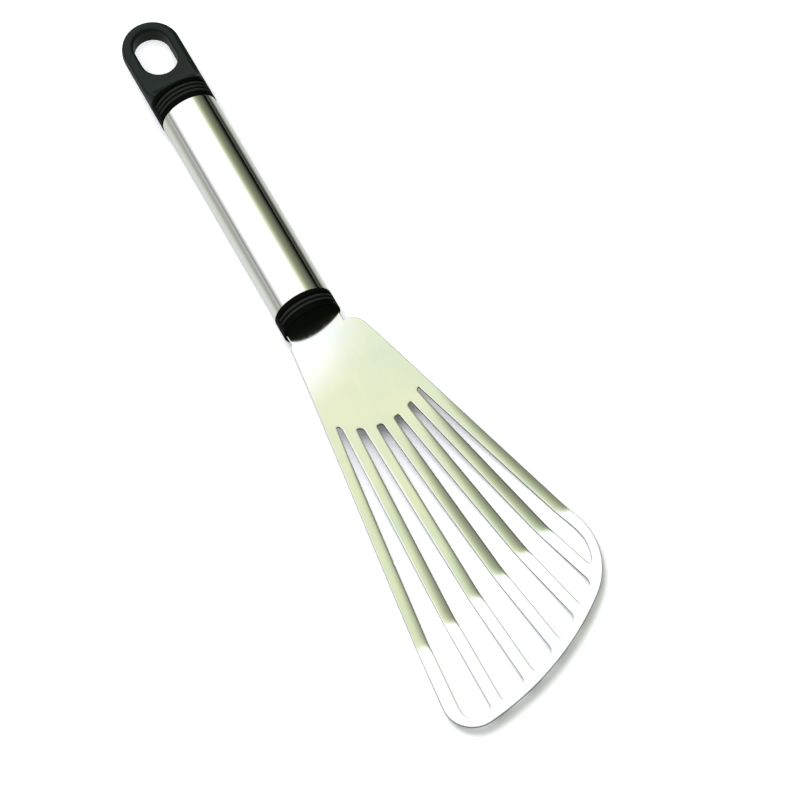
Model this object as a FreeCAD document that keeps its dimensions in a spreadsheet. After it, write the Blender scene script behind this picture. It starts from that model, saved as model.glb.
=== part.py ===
import FreeCAD, Part
import Sketcher
import math
import os

from FreeCAD import Placement, Rotation, Vector

# Fish spatula, built along its handle: x = 0 is the front face of the ferrule, +X points to the
# blade's leading edge, the handle's axis is y = z = 0 and +Z is up as the spatula lies on a table.

driving = {
    # Handle: a thin tube between two mouldings
    "tube_diameter": 24.0,
    "tube_wall": 0.6,
    "tube_length": 99.5,
    "collar_diameter": 24.6,
    "collar_edge": 0.5,
    "plug_play": 0.1,
    "plug_chamfer": 1.5,
    # Grooves that leave ribs on the top and bottom of both collars
    "rib_groove_width": 0.8,
    "rib_groove_depth": 0.5,
    "rib_pitch": 1.8,
    "rib_margin": 1.5,
    "rib_arc": 136,
    # Front ferrule, whose plug runs on behind the tang
    "ferrule_length": 8.5,
    "tang_cover": 4.5,
    # End cap with its hanging loop and spigot
    "cap_collar_length": 9.4,
    "cap_length": 47,
    "cap_spigot_length": 18,
    "cap_spigot_wall": 2.2,
    "loop_thickness": 9,
    "loop_edge": 1.2,
    "loop_hole_width": 15,
    "loop_hole_length": 22,
    "loop_hole_wall": 4.9,
    "loop_hole_edge": 1.0,
    # Blade: sheet, tang and neck
    "sheet_thickness": 1.2,
    "tang_length": 42,
    "tang_width": 14,
    "tang_play": 0.1,
    "neck_width": 22.8,
    "neck_seat_depth": 4,
    "pin_diameter": 4,
    "pin_play": 0.1,
    "front_pin_back": 18,
    "tang_end_margin": 8,
    # Blade: bends, all along one direction that slants across the handle
    "bend_slant": 18,
    "neck_bend_forward": 10,
    "neck_bend_radius": 150,
    "belly_forward": 110,
    "belly_radius": 25,
    "tip_angle": 7,
    # Blade: outline in plan, its sides given where they cross a station along the head
    "head_station": 100,
    "left_side_out": 22.6,
    "left_side_angle": -6.1,
    "right_side_out": 48.4,
    "right_side_angle": 18.2,
    "shoulder_forward": 4,
    "right_shoulder_radius": 6.5,
    "left_shoulder_radius": 3,
    "blade_reach": 172,
    "blade_right_reach": 54.3,
    "right_corner_radius": 31,
    "leading_edge_radius": 115,
    "left_corner_radius": 11.7,
    # Blade: fan of tines, spaced at the same station, with a slot between each two
    "first_tine_out": 20.4,
    "first_tine_angle": -5.4,
    "tine_spacing": 11.14,
    "tine_turn": 4,
    "tine_width": 4.8,
    "rim_width": 3.7,
    "neck_pad_forward": 21.9,
    "neck_pad_side": 5.7,
    "neck_pad_radius": 27,
    "slot_top_roundness": 0.36,
    "slot_tip_radius": 2,
}
# Sizes that follow the tang, so that its slot and its pins stay with it
tied = {
    "ferrule_plug_length": "=tang_length + tang_cover - ferrule_length",
    "rear_pin_back": "=tang_length - tang_end_margin",
}
slot_count = 6
# points closer than this are the same, and walls that turn less than this many degrees run on smoothly
same_point = 0.01
least_corner_angle = 11.5

doc = FreeCAD.newDocument("fish_spatula")
sheet = doc.addObject("Spreadsheet::Sheet", "Sizes")
for row, (alias, size) in enumerate({**driving, **tied}.items(), start=1):
    sheet.set(f"A{row}", alias)
    sheet.set(f"B{row}", str(size))
    sheet.setAlias(f"B{row}", alias)
doc.recompute()


def value(formula):
    return float(sheet.evalExpression(formula))


def bind(item, **formulas):
    for name, formula in formulas.items():
        item.setExpression(name, formula)


def bind_base(item, x="0", y="0", z="0"):
    for axis, formula in (("x", x), ("y", y), ("z", z)):
        item.setExpression(f"Placement.Base.{axis}", formula)


def origin_plane(body, role):
    return next(item for item in body.Origin.OriginFeatures if item.Role == role)


def body_sketch(body, name, role):
    sketch = body.newObject("Sketcher::SketchObject", name)
    sketch.AttachmentSupport = [(origin_plane(body, role), "")]
    sketch.MapMode = "FlatFace"
    return sketch


def dimension(sketch, formula, kind, *elements):
    index = sketch.addConstraint(Sketcher.Constraint(kind, *elements, value(formula)))
    sketch.setExpression(f"Constraints[{index}]", formula)


def angle_dimension(sketch, formula, line):
    index = sketch.addConstraint(Sketcher.Constraint("Angle", line, math.radians(value(formula))))
    sketch.setExpression(f"Constraints[{index}]", f"({formula}) * 1 deg")


def place_point(sketch, element, end, x, y):
    # a point is dimensioned from the sketch's origin, or lies on one of its axes
    for kind, formula, axis in (("DistanceX", x, -2), ("DistanceY", y, -1)):
        if formula == "0":
            sketch.addConstraint(Sketcher.Constraint("PointOnObject", element, end, axis))
        else:
            dimension(sketch, formula, kind, -1, 1, element, end)


def arc(centre, radius, start, end):
    # the arc runs counter-clockwise from one point to the other
    angles = [math.atan2(point.y - centre.y, point.x - centre.x) for point in (start, end)]
    return Part.ArcOfCircle(Part.Circle(centre, Vector(0, 0, 1), radius), *angles)


def draw_corners(sketch, corners, arcs=None):
    # closed outline, each corner given by two formulas; an edge named in arcs turns left round a centre
    arcs = arcs or {}
    first = sketch.GeometryCount
    points = [Vector(value(x), value(y), 0) for x, y in corners]
    count = len(points)
    for i in range(count):
        start, end = points[i], points[(i + 1) % count]
        if i in arcs:
            centre = Vector(*[value(formula) for formula in arcs[i]], 0)
            sketch.addGeometry(arc(centre, (start - centre).Length, start, end))
        else:
            sketch.addGeometry(Part.LineSegment(start, end))
    for i in range(count):
        join = (first + i, 2, first + (i + 1) % count, 1)
        sketch.addConstraint(Sketcher.Constraint("Coincident", *join))
    for i, (x, y) in enumerate(corners):
        place_point(sketch, first + i, 1, x, y)
    for i in arcs:
        dimension(sketch, arcs[i][0], "DistanceX", -1, 1, first + i, 3)


def draw_circle(sketch, x, y, radius):
    centre = Vector(value(x), value(y), 0)
    index = sketch.addGeometry(Part.Circle(centre, Vector(0, 0, 1), value(radius)))
    place_point(sketch, index, 3, x, y)
    dimension(sketch, radius, "Radius", index)


def revolve(body, name, sketch):
    feature = body.newObject("PartDesign::Revolution", name)
    feature.Profile = sketch
    feature.ReferenceAxis = (sketch, ["H_Axis"])
    feature.Angle = 360
    return feature


def pocket_through(body, name, sketch):
    feature = body.newObject("PartDesign::Pocket", name)
    feature.Profile = sketch
    feature.Type = "ThroughAll"
    feature.SideType = "Symmetric"
    return feature


def mirror(body, name, feature):
    # repeats a feature below the plane of the loop and the blade's tang
    mirrored = body.newObject("PartDesign::Mirrored", name)
    mirrored.Originals = [feature]
    mirrored.MirrorPlane = (origin_plane(body, "XY_Plane"), [""])
    body.Tip = mirrored
    return mirrored


def chamfer(body, name, base, size, wanted):
    doc.recompute()
    names = [f"Edge{i}" for i, edge in enumerate(base.Shape.Edges, start=1) if wanted(edge)]
    feature = body.newObject("PartDesign::Chamfer", name)
    feature.Base = (base, names)
    bind(feature, Size=size)
    doc.recompute()
    return feature


collar_radius = "Sizes.collar_diameter / 2"
tube_bore_radius = "Sizes.tube_diameter / 2 - Sizes.tube_wall"
plug_radius = f"{tube_bore_radius} - Sizes.plug_play"
# length of level sheet behind the neck bend, enough for the tang's far corner on the slant
tang_run = "Sizes.tang_length + Sizes.neck_bend_forward + Sizes.tang_width"
# height of the upright tools that cut the blade, enough to pass through the whole bent sheet
prism_height = "4 * Sizes.collar_diameter"


def cut_ribs(body, length):
    # as many grooves as the collar has room for, on its top and again on its bottom
    sketch = body_sketch(body, "rib_notches", "XZ_Plane")
    free = value(length) - 2 * value("Sizes.rib_margin") - value("Sizes.rib_groove_width")
    count = 1 + max(0, int(free / value("Sizes.rib_pitch")))
    for i in range(count):
        front = f"-({length}) / 2 + {i - (count - 1) / 2} * Sizes.rib_pitch + Sizes.rib_groove_width / 2"
        back = f"{front} - Sizes.rib_groove_width"
        floor = f"{collar_radius} - Sizes.rib_groove_depth"
        above = f"{collar_radius} + Sizes.rib_groove_depth"
        draw_corners(sketch, [(front, floor), (front, above), (back, above), (back, floor)])
    groove = body.newObject("PartDesign::Groove", "top_ribs")
    groove.Profile = sketch
    groove.ReferenceAxis = (sketch, ["H_Axis"])
    groove.Midplane = True
    bind(groove, Angle="Sizes.rib_arc")
    return mirror(body, "bottom_ribs", groove)


def make_tube():
    body = doc.addObject("PartDesign::Body", "handle_tube")
    section = body_sketch(body, "tube_section", "YZ_Plane")
    draw_circle(section, "0", "0", "Sizes.tube_diameter / 2")
    draw_circle(section, "0", "0", tube_bore_radius)
    pad = body.newObject("PartDesign::Pad", "tube_run")
    pad.Profile = section
    bind(pad, Length="Sizes.tube_length")
    bind_base(body, x="-Sizes.ferrule_length - Sizes.tube_length")
    return body


def make_ferrule():
    body = doc.addObject("PartDesign::Body", "front_ferrule")
    collar_back = "-Sizes.ferrule_length"
    plug_back = f"{collar_back} - Sizes.ferrule_plug_length"
    profile = body_sketch(body, "ferrule_profile", "XZ_Plane")
    rim_top = f"{collar_radius} - Sizes.collar_edge"
    draw_corners(profile, [
        ("0", "0"),
        ("0", rim_top),
        ("-Sizes.collar_edge", collar_radius),
        (f"{collar_back} + Sizes.collar_edge", collar_radius),
        (collar_back, rim_top),
        (collar_back, plug_radius),
        (f"{plug_back} + Sizes.plug_chamfer", plug_radius),
        (plug_back, f"{plug_radius} - Sizes.plug_chamfer"),
        (plug_back, "0"),
    ])
    revolve(body, "ferrule_turned", profile)
    cut_ribs(body, "Sizes.ferrule_length")

    # the tang's slot runs the length of the plug, and a wider mouth takes the neck
    half_height = "Sizes.sheet_thickness / 2 + Sizes.tang_play"
    for name, width in (("tang_slot", "Sizes.tang_width"), ("neck_mouth", "Sizes.neck_width")):
        half = f"{width} / 2 + Sizes.tang_play"
        sketch = body_sketch(body, f"{name}_section", "YZ_Plane")
        draw_corners(sketch, [(half, half_height), (f"-({half})", half_height),
                              (f"-({half})", f"-({half_height})"), (half, f"-({half_height})")])
        if name == "tang_slot":
            pocket_through(body, name, sketch)
            continue
        mouth = body.newObject("PartDesign::Pocket", name)
        mouth.Profile = sketch
        bind(mouth, Length="Sizes.neck_seat_depth")

    holes = body_sketch(body, "pin_holes_plan", "XY_Plane")
    for back in ("Sizes.front_pin_back", "Sizes.rear_pin_back"):
        draw_circle(holes, f"-{back}", "0", "Sizes.pin_diameter / 2 + Sizes.pin_play")
    pocket_through(body, "pin_holes", holes)
    return body


def make_end_cap():
    # own frame: x = 0 is the shoulder that the tube's rear end butts against
    body = doc.addObject("PartDesign::Body", "end_cap")
    far_end = "-Sizes.cap_length"
    ball_centre = f"{far_end} + {collar_radius}"
    spigot_end = "Sizes.cap_spigot_length"
    spigot_bore = f"{plug_radius} - Sizes.cap_spigot_wall"
    turned = body_sketch(body, "cap_profile", "XZ_Plane")
    draw_corners(turned, [
        (far_end, "0"),
        ("0", "0"),
        ("0", spigot_bore),
        (spigot_end, spigot_bore),
        (spigot_end, f"{plug_radius} - Sizes.plug_chamfer"),
        (f"{spigot_end} - Sizes.plug_chamfer", plug_radius),
        ("0", plug_radius),
        ("0", f"{collar_radius} - Sizes.collar_edge"),
        ("-Sizes.collar_edge", collar_radius),
        (ball_centre, collar_radius),
    ], arcs={9: (ball_centre, "0")})
    revolve(body, "cap_turned", turned)

    # flats above and below leave the loop's plate, and a cove carries each of them up to the collar
    half_plate = "Sizes.loop_thickness / 2"
    cove_top = "-Sizes.cap_collar_length"
    cove_foot = f"{cove_top} - ({collar_radius} - {half_plate})"
    behind = f"{far_end} - {collar_radius}"
    above = f"2 * ({collar_radius})"
    flats = body_sketch(body, "flat_section", "XZ_Plane")
    draw_corners(flats, [
        (behind, half_plate),
        (cove_foot, half_plate),
        (cove_top, collar_radius),
        (cove_top, above),
        (behind, above),
    ], arcs={1: (cove_foot, collar_radius)})
    flat = pocket_through(body, "top_flat", flats)
    mirror(body, "bottom_flat", flat)
    hole = body_sketch(body, "loop_hole_plan", "XY_Plane")
    draw_stadium(hole)
    holed = pocket_through(body, "loop_hole", hole)

    plate_top = value(half_plate)
    hole_half = value("Sizes.loop_hole_width / 2")
    cove_start = value(cove_foot)

    def on_plate(edge):
        return all(abs(abs(vertex.Z) - plate_top) < same_point for vertex in edge.Vertexes)

    def is_hole(edge):
        return on_plate(edge) and all(abs(vertex.Y) < hole_half + same_point for vertex in edge.Vertexes)

    def is_rim(edge):
        at_front = all(abs(vertex.X - cove_start) < same_point for vertex in edge.Vertexes)
        return on_plate(edge) and not is_hole(edge) and not at_front

    rimmed = chamfer(body, "loop_rim", holed, "Sizes.loop_edge", is_rim)
    chamfer(body, "loop_hole_edges", rimmed, "Sizes.loop_hole_edge", is_hole)
    cut_ribs(body, "Sizes.cap_collar_length")
    bind_base(body, x="-Sizes.ferrule_length - Sizes.tube_length")
    return body


def draw_stadium(sketch):
    far = "-Sizes.cap_length + Sizes.loop_hole_wall + Sizes.loop_hole_width / 2"
    near = "-Sizes.cap_length + Sizes.loop_hole_wall + Sizes.loop_hole_length - Sizes.loop_hole_width / 2"
    radius = value("Sizes.loop_hole_width / 2")
    side = Vector(0, radius, 0)
    far_centre = Vector(value(far), 0, 0)
    near_centre = Vector(value(near), 0, 0)
    sketch.addGeometry(arc(far_centre, radius, far_centre + side, far_centre - side))
    sketch.addGeometry(Part.LineSegment(far_centre - side, near_centre - side))
    sketch.addGeometry(arc(near_centre, radius, near_centre - side, near_centre + side))
    sketch.addGeometry(Part.LineSegment(near_centre + side, far_centre + side))
    for i in range(4):
        sketch.addConstraint(Sketcher.Constraint("Tangent", i, 2, (i + 1) % 4, 1))
    place_point(sketch, 0, 3, far, "0")
    dimension(sketch, near, "DistanceX", -1, 1, 2, 3)
    dimension(sketch, "Sizes.loop_hole_width / 2", "Radius", 0)


def make_pins():
    # the tube's bore keeps the pins from working out
    pins = []
    length = f"2 * ({plug_radius}) - 2 * Sizes.plug_play"
    for name, back in (("front_pin", "Sizes.front_pin_back"), ("rear_pin", "Sizes.rear_pin_back")):
        pin = doc.addObject("Part::Cylinder", name)
        bind(pin, Radius="Sizes.pin_diameter / 2", Height=length)
        bind_base(pin, x=f"-{back}", z=f"-({length}) / 2")
        pins.append(pin)
    group = doc.addObject("Part::Compound", "tang_pins")
    group.Links = pins
    return group


def draw_bend_path(sketch):
    # underside of the sheet, seen square to the bends: tang, neck bend, slope, belly, upturned tip
    under = "-Sizes.sheet_thickness / 2"
    neck_radius = value("Sizes.neck_bend_radius")
    belly_radius = value("Sizes.belly_radius")
    neck_centre = Vector(0, value(under) - neck_radius, 0)
    belly_level = f"-({collar_radius}) + Sizes.belly_radius"
    belly_centre = Vector(value("Sizes.belly_forward"), value(belly_level), 0)
    # the slope is the inner tangent of the two bends
    between = belly_centre - neck_centre
    slope = math.asin((neck_radius + belly_radius) / between.Length) - math.atan2(between.y, between.x)
    tip = math.radians(value("Sizes.tip_angle"))
    toward_neck = Vector(math.sin(slope), math.cos(slope), 0)
    tang_end = Vector(-value(tang_run), value(under), 0)
    neck_start = Vector(0, value(under), 0)
    neck_end = neck_centre + toward_neck * neck_radius
    belly_start = belly_centre - toward_neck * belly_radius
    belly_end = belly_centre + Vector(math.sin(tip), -math.cos(tip), 0) * belly_radius
    tip_end = belly_end + Vector(math.cos(tip), math.sin(tip), 0) * value("Sizes.blade_reach")
    sketch.addGeometry(Part.LineSegment(tang_end, neck_start))
    sketch.addGeometry(arc(neck_centre, neck_radius, neck_end, neck_start))
    sketch.addGeometry(Part.LineSegment(neck_end, belly_start))
    sketch.addGeometry(arc(belly_centre, belly_radius, belly_start, belly_end))
    sketch.addGeometry(Part.LineSegment(belly_end, tip_end))
    sketch.addConstraint(Sketcher.Constraint("Tangent", 0, 2, 1, 2))
    sketch.addConstraint(Sketcher.Constraint("Tangent", 1, 1, 2, 1))
    sketch.addConstraint(Sketcher.Constraint("Tangent", 2, 2, 3, 1))
    sketch.addConstraint(Sketcher.Constraint("Tangent", 3, 2, 4, 1))
    sketch.addConstraint(Sketcher.Constraint("Horizontal", 0))
    place_point(sketch, 0, 1, f"-({tang_run})", under)
    sketch.addConstraint(Sketcher.Constraint("PointOnObject", 1, 3, -2))
    dimension(sketch, "Sizes.neck_bend_radius", "Radius", 1)
    dimension(sketch, "Sizes.belly_radius", "Radius", 3)
    place_point(sketch, 3, 3, "Sizes.belly_forward", belly_level)
    angle_dimension(sketch, "Sizes.tip_angle", 4)
    dimension(sketch, "Sizes.blade_reach", "Distance", 4)


def make_bent_sheet():
    path = doc.addObject("Sketcher::SketchObject", "bend_path")
    upright = Rotation(Vector(1, 0, 0), 90)
    slant = Rotation(Vector(0, 0, 1), value("Sizes.bend_slant"))
    path.Placement = Placement(Vector(value("Sizes.neck_bend_forward"), 0, 0), slant.multiply(upright))
    draw_bend_path(path)
    band = doc.addObject("Part::Offset2D", "sheet_section")
    band.Source = path
    band.Mode = "Skin"
    band.Fill = True
    bind(band, Value="Sizes.sheet_thickness")
    bent = doc.addObject("Part::Extrusion", "bent_sheet")
    bent.Base = band
    bent.DirMode = "Normal"
    bent.Solid = True
    bent.Symmetric = True
    bind(bent, LengthFwd="2 * Sizes.blade_reach")
    return bent


def circle_meeting(first, first_radius, second, second_radius):
    # of the two points at those distances from two centres, the one nearer the handle
    between = second - first
    gap = between.Length
    along = (first_radius ** 2 - second_radius ** 2 + gap ** 2) / (2 * gap)
    aside = math.sqrt(first_radius ** 2 - along ** 2)
    across = Vector(-between.y, between.x, 0) / gap
    foot = first + between * (along / gap)
    return min(foot + across * aside, foot - across * aside, key=lambda point: point.x)


def draw_head_outline(sketch):
    # two straight sides, three arcs round the front and a rounded shoulder
    left = math.radians(value("Sizes.left_side_angle"))
    right = math.radians(value("Sizes.right_side_angle"))
    left_out = Vector(math.sin(left), -math.cos(left), 0)
    right_out = Vector(-math.sin(right), math.cos(right), 0)
    left_mark = Vector(value("Sizes.head_station"), -value("Sizes.left_side_out"), 0)
    right_mark = Vector(value("Sizes.head_station"), value("Sizes.right_side_out"), 0)
    left_reach = left_mark.dot(left_out)
    right_reach = right_mark.dot(right_out)
    shoulder = value("Sizes.shoulder_forward")
    radii = [value(f"Sizes.{name}") for name in ("left_corner_radius", "leading_edge_radius",
                                                 "right_corner_radius", "right_shoulder_radius",
                                                 "left_shoulder_radius")]
    tip_r, lead_r, corner_r, right_r, left_r = radii

    def on_side(out, reach, radius, x=None, y=None):
        # centre of a circle that touches a side from inside, given one coordinate
        if x is None:
            return Vector((reach - radius - out.y * y) / out.x, y, 0)
        return Vector(x, (reach - radius - out.x * x) / out.y, 0)

    tip_c = on_side(left_out, left_reach, tip_r, x=value("Sizes.blade_reach") - tip_r)
    corner_c = on_side(right_out, right_reach, corner_r, y=value("Sizes.blade_right_reach") - corner_r)
    lead_c = circle_meeting(tip_c, lead_r - tip_r, corner_c, lead_r - corner_r)
    right_c = on_side(right_out, right_reach, right_r, x=shoulder + right_r)
    left_c = on_side(left_out, left_reach, left_r, x=shoulder + left_r)
    tip_join = lead_c + (tip_c - lead_c).normalize() * lead_r
    corner_join = lead_c + (corner_c - lead_c).normalize() * lead_r
    left_near = left_c + left_out * left_r
    left_far = tip_c + left_out * tip_r
    right_far = corner_c + right_out * corner_r
    right_near = right_c + right_out * right_r
    right_shoulder = Vector(shoulder, right_c.y, 0)
    left_shoulder = Vector(shoulder, left_c.y, 0)

    sketch.addGeometry(Part.LineSegment(left_near, left_far))
    sketch.addGeometry(arc(tip_c, tip_r, left_far, tip_join))
    sketch.addGeometry(arc(lead_c, lead_r, tip_join, corner_join))
    sketch.addGeometry(arc(corner_c, corner_r, corner_join, right_far))
    sketch.addGeometry(Part.LineSegment(right_near, right_far))
    sketch.addGeometry(arc(right_c, right_r, right_near, right_shoulder))
    sketch.addGeometry(Part.LineSegment(right_shoulder, left_shoulder))
    sketch.addGeometry(arc(left_c, left_r, left_shoulder, left_near))
    on_left = sketch.addGeometry(Part.Point(left_mark), True)
    on_right = sketch.addGeometry(Part.Point(right_mark), True)

    joins = ((0, 2, 1, 1), (1, 2, 2, 1), (2, 2, 3, 1), (3, 2, 4, 2), (4, 1, 5, 1), (5, 2, 6, 1),
             (6, 2, 7, 1), (7, 2, 0, 1))
    for join in joins:
        sketch.addConstraint(Sketcher.Constraint("Tangent", *join))
    place_point(sketch, on_left, 1, "Sizes.head_station", "-Sizes.left_side_out")
    place_point(sketch, on_right, 1, "Sizes.head_station", "Sizes.right_side_out")
    sketch.addConstraint(Sketcher.Constraint("PointOnObject", on_left, 1, 0))
    sketch.addConstraint(Sketcher.Constraint("PointOnObject", on_right, 1, 4))
    angle_dimension(sketch, "Sizes.left_side_angle", 0)
    angle_dimension(sketch, "Sizes.right_side_angle", 4)
    for element, name in ((1, "left_corner"), (2, "leading_edge"), (3, "right_corner"),
                          (5, "right_shoulder"), (7, "left_shoulder")):
        dimension(sketch, f"Sizes.{name}_radius", "Radius", element)
    dimension(sketch, "Sizes.blade_reach - Sizes.left_corner_radius", "DistanceX", -1, 1, 1, 3)
    dimension(sketch, "Sizes.blade_right_reach - Sizes.right_corner_radius", "DistanceY", -1, 1, 3, 3)
    sketch.addConstraint(Sketcher.Constraint("Vertical", 6))
    dimension(sketch, "Sizes.shoulder_forward", "DistanceX", -1, 1, 6, 1)


def prism(name, base):
    solid = doc.addObject("Part::Extrusion", name)
    solid.Base = base
    solid.DirMode = "Normal"
    solid.Solid = True
    solid.Symmetric = True
    bind(solid, LengthFwd=prism_height)
    return solid


def strip(name, width, front, back):
    # upright block along the handle's axis
    block = doc.addObject("Part::Box", name)
    bind(block, Length=f"({front}) - ({back})", Width=width, Height=prism_height)
    bind_base(block, x=back, y=f"-({width}) / 2", z=f"-({prism_height}) / 2")
    return block


def post(name, radius, x, y="0"):
    # upright cylinder through the sheet
    cylinder = doc.addObject("Part::Cylinder", name)
    bind(cylinder, Radius=radius, Height=prism_height)
    bind_base(cylinder, x=x, y=y, z=f"-({prism_height}) / 2")
    return cylinder


def make_slots(outline):
    # wedges between the tines, kept a rim's width inside the outline and clear of the neck's round pad
    wedges = [slot_wedge(i) for i in range(slot_count)]
    fan = doc.addObject("Part::Compound", "slot_fan")
    fan.Links = wedges
    inner = doc.addObject("Part::Offset2D", "slot_field_outline")
    inner.Source = outline
    bind(inner, Value="-Sizes.rim_width")
    inside = doc.addObject("Part::Common", "slots_inside_rim")
    inside.Base = fan
    inside.Tool = prism("slot_field", inner)
    sharp = doc.addObject("Part::Cut", "sharp_slots")
    sharp.Base = inside
    sharp.Tool = post("neck_pad", "Sizes.neck_pad_radius", "Sizes.neck_pad_forward", "Sizes.neck_pad_side")
    doc.recompute()
    rounded = doc.addObject("Part::Fillet", "slots")
    rounded.Base = sharp
    rounded.Edges = slot_corners(sharp.Shape)
    return rounded


def slot_wedge(i):
    # the gap between tine i and the next, whose walls run parallel to them
    taper = "Sizes.tine_turn / 2 * 1 deg"
    middle_angle = f"Sizes.first_tine_angle + {i + 0.5} * Sizes.tine_turn"
    middle_out = f"-Sizes.first_tine_out + {i + 0.5} * Sizes.tine_spacing"
    back = "Sizes.head_station - Sizes.neck_pad_forward"
    ahead = "Sizes.blade_reach"

    def half(tine, along):
        tine_angle = f"(Sizes.first_tine_angle + {tine} * Sizes.tine_turn) * 1 deg"
        clear = f"(Sizes.tine_spacing * cos({tine_angle}) - Sizes.tine_width) / 2 / cos({taper})"
        return f"({clear} + ({along}) * tan({taper}))"

    wedge = doc.addObject("Part::Wedge", f"slot_wedge_{i + 1}")
    bind(wedge, Ymin=f"-({back})", Ymax=ahead,
         Xmin=f"-{half(i + 1, f'-({back})')}", Xmax=half(i, f"-({back})"),
         X2min=f"-{half(i + 1, ahead)}", X2max=half(i, ahead),
         Zmin=f"-({prism_height}) / 2", Zmax=f"({prism_height}) / 2",
         Z2min=f"-({prism_height}) / 2", Z2max=f"({prism_height}) / 2")
    bind_base(wedge, x="Sizes.head_station", y=middle_out)
    wedge.setExpression("Placement.Rotation.Angle", f"{middle_angle} - 90")
    return wedge


def slot_corners(shape):
    # upright edges where two walls meet at a corner: the pair at the neck and the pair at the tip
    pad_centre = Vector(value("Sizes.neck_pad_forward"), value("Sizes.neck_pad_side"), 0)
    pad_radius = value("Sizes.neck_pad_radius")
    least_turn = math.sin(math.radians(least_corner_angle))
    at_neck, at_tip = {}, {}
    for index, edge in enumerate(shape.Edges, start=1):
        foot, head = edge.Vertexes[0].Point, edge.Vertexes[-1].Point
        if math.hypot(head.x - foot.x, head.y - foot.y) > same_point:
            continue
        walls = shape.ancestorsOfType(edge, Part.Face)
        normals = [wall.normalAt(*wall.Surface.parameter(edge.CenterOfMass)) for wall in walls]
        if len(normals) < 2 or normals[0].cross(normals[1]).Length < least_turn:
            continue
        spot = Vector(foot.x, foot.y, 0)
        on_pad = abs((spot - pad_centre).Length - pad_radius) < same_point
        (at_neck if on_pad else at_tip)[index] = spot
    chosen = []
    for index, spot in at_neck.items():
        mouth = min((spot - other).Length for key, other in at_neck.items() if key != index)
        radius = value("Sizes.slot_top_roundness") * mouth
        chosen.append((index, radius, radius))
    for index in at_tip:
        radius = value("Sizes.slot_tip_radius")
        chosen.append((index, radius, radius))
    return chosen


def make_blade():
    outline = doc.addObject("Sketcher::SketchObject", "head_outline")
    draw_head_outline(outline)
    head = prism("head_prism", outline)
    tang_back = "-Sizes.tang_length"
    neck = strip("neck_prism", "Sizes.neck_width", "Sizes.shoulder_forward", "-Sizes.neck_seat_depth")
    tang = strip("tang_prism", "Sizes.tang_width", "Sizes.shoulder_forward", tang_back)
    plan = doc.addObject("Part::MultiFuse", "blade_plan")
    plan.Shapes = [head, neck, tang]
    blank = doc.addObject("Part::Common", "blank")
    blank.Base = make_bent_sheet()
    blank.Tool = plan
    holes = doc.addObject("Part::Compound", "openings")
    hole_radius = "Sizes.pin_diameter / 2 + Sizes.pin_play"
    holes.Links = [
        make_slots(outline),
        post("front_pin_hole", hole_radius, "-Sizes.front_pin_back"),
        post("rear_pin_hole", hole_radius, "-Sizes.rear_pin_back"),
    ]
    blade = doc.addObject("Part::Cut", "slotted_blade")
    blade.Base = blank
    blade.Tool = holes
    return blade


pieces = [make_tube(), make_ferrule(), make_end_cap(), make_pins(), make_blade()]
doc.recompute()

for item in doc.Objects:
    troubled = [state for state in item.State if state in ("Invalid", "Error")]
    if troubled:
        raise RuntimeError(f"{item.Label} did not recompute: {troubled}")
for piece in pieces:
    if piece.Shape.isNull() or not piece.Shape.isValid():
        raise RuntimeError(f"{piece.Label} has no valid shape")

# the part's own frame: centred over its box, with the lowest point on z = 0
box = Part.makeCompound([piece.Shape for piece in pieces]).optimalBoundingBox(False, False)
to_frame = Placement(Vector(-box.Center.x, -box.Center.y, -box.ZMin), Rotation())
os.makedirs("parts", exist_ok=True)
for piece in pieces:
    piece.Placement = to_frame.multiply(piece.Placement)
    piece.Shape.exportStep(f"parts/{piece.Label}.step")
    solids = len(piece.Shape.Solids)
    print(f"{piece.Label}: {solids} solid(s), {piece.Shape.Volume / 1000:.2f} cm3")
print("moved by", to_frame.Base)
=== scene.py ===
import math

import bpy
import numpy as np
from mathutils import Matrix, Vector, geometry


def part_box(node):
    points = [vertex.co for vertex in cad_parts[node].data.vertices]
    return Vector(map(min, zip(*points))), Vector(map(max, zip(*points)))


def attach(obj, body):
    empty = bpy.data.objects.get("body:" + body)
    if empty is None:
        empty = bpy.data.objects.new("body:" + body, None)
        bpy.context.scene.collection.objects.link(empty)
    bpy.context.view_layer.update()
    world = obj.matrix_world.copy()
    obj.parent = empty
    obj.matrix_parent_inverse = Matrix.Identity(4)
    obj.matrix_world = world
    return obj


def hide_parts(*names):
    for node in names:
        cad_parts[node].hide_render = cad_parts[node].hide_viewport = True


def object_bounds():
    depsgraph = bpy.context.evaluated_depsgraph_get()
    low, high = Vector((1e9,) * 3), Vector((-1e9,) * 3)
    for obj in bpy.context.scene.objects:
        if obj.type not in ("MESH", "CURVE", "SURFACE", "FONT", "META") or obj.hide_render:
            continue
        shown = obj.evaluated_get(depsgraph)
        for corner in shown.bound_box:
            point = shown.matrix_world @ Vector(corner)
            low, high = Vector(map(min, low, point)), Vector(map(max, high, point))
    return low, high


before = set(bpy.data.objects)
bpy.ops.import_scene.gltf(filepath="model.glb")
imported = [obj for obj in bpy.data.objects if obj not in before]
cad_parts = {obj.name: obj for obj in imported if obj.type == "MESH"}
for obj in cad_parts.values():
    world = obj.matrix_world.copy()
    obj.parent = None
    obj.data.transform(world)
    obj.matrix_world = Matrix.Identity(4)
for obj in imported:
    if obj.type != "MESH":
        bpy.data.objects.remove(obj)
cadLow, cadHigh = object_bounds()
print("frame loaded")

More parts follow.
